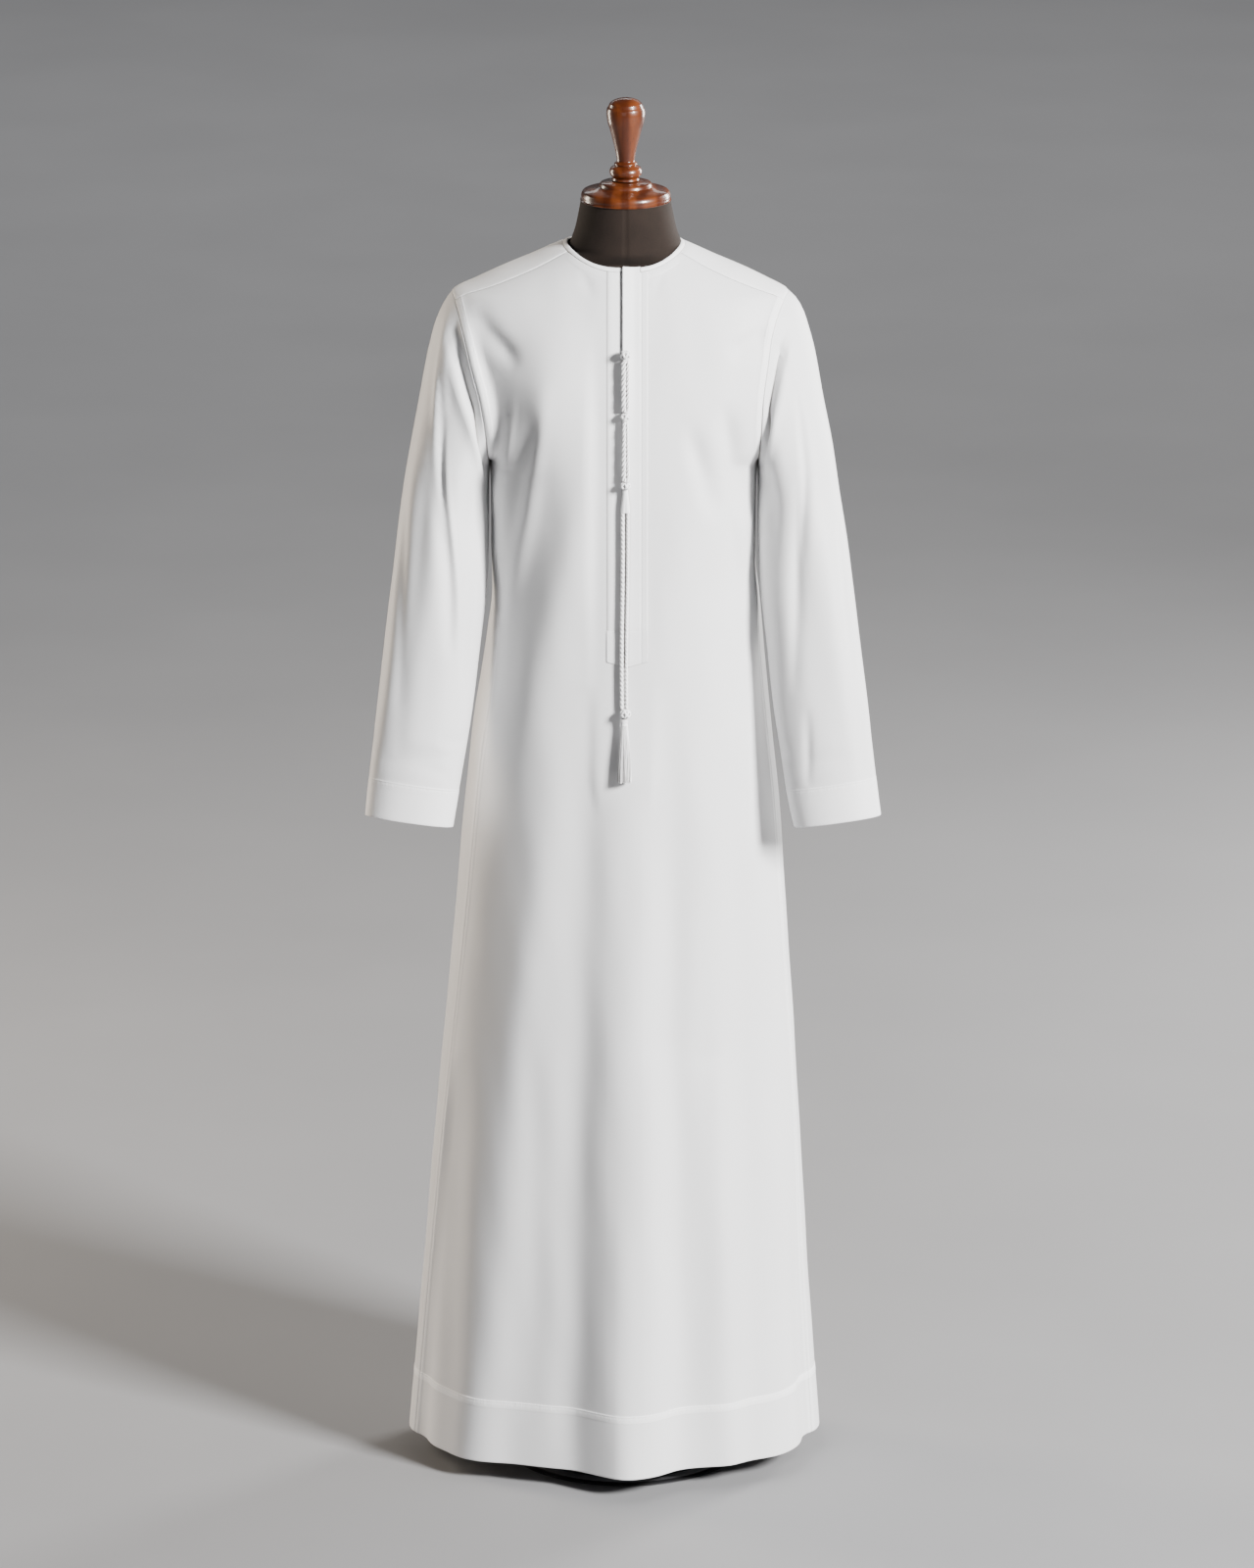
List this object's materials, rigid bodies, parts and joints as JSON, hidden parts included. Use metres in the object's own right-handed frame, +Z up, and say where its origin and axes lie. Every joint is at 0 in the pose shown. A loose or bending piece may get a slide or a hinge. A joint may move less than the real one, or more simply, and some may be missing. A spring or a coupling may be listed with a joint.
{
  "type": "thobe robe on a dress form",
  "caption": "Long white collarless robe with a braided neck cord and tassel, filled out on a limbless dress form with a turned wooden finial, pole and round base.",
  "frame": {"origin": "on the floor, at the middle of the stand's round base", "axes": "+Z up along the pole, -Y out of the robe's front, +X towards the wearer's left"},
  "size_m": [0.6148, 0.365, 1.6895],
  "materials": {
    "cloth": "smooth fine weave, soft sheen",
    "cord": "matte twisted yarn",
    "form_cover": "matte dark brown brushed cloth",
    "wood": "glossy polish",
    "stand_metal": "satin black"
  },
  "bodies": {
    "root": {"front_panel": "cloth", "back_panel": "cloth", "yoke_right": "cloth", "yoke_left": "cloth", "sleeve_right": "cloth", "sleeve_left": "cloth", "neck_binding": "cloth", "placket_under": "cloth", "placket_over": "cloth", "farokha_knot_upper": "cord", "farokha_knot_middle": "cord", "farokha_knot_lower": "cord", "farokha_braid_upper": "cord", "farokha_braid_lower": "cord", "farokha_flare": "cord", "farokha_cord_thick": "cord", "farokha_cord_thin": "cord", "farokha_tassel_knot": "cord", "farokha_tassel": "cord", "form_torso": "form_cover", "form_neck_cap": "wood", "form_finial": "wood", "stand_pole": "stand_metal", "stand_base": "stand_metal"}
  },
  "joints": []
}
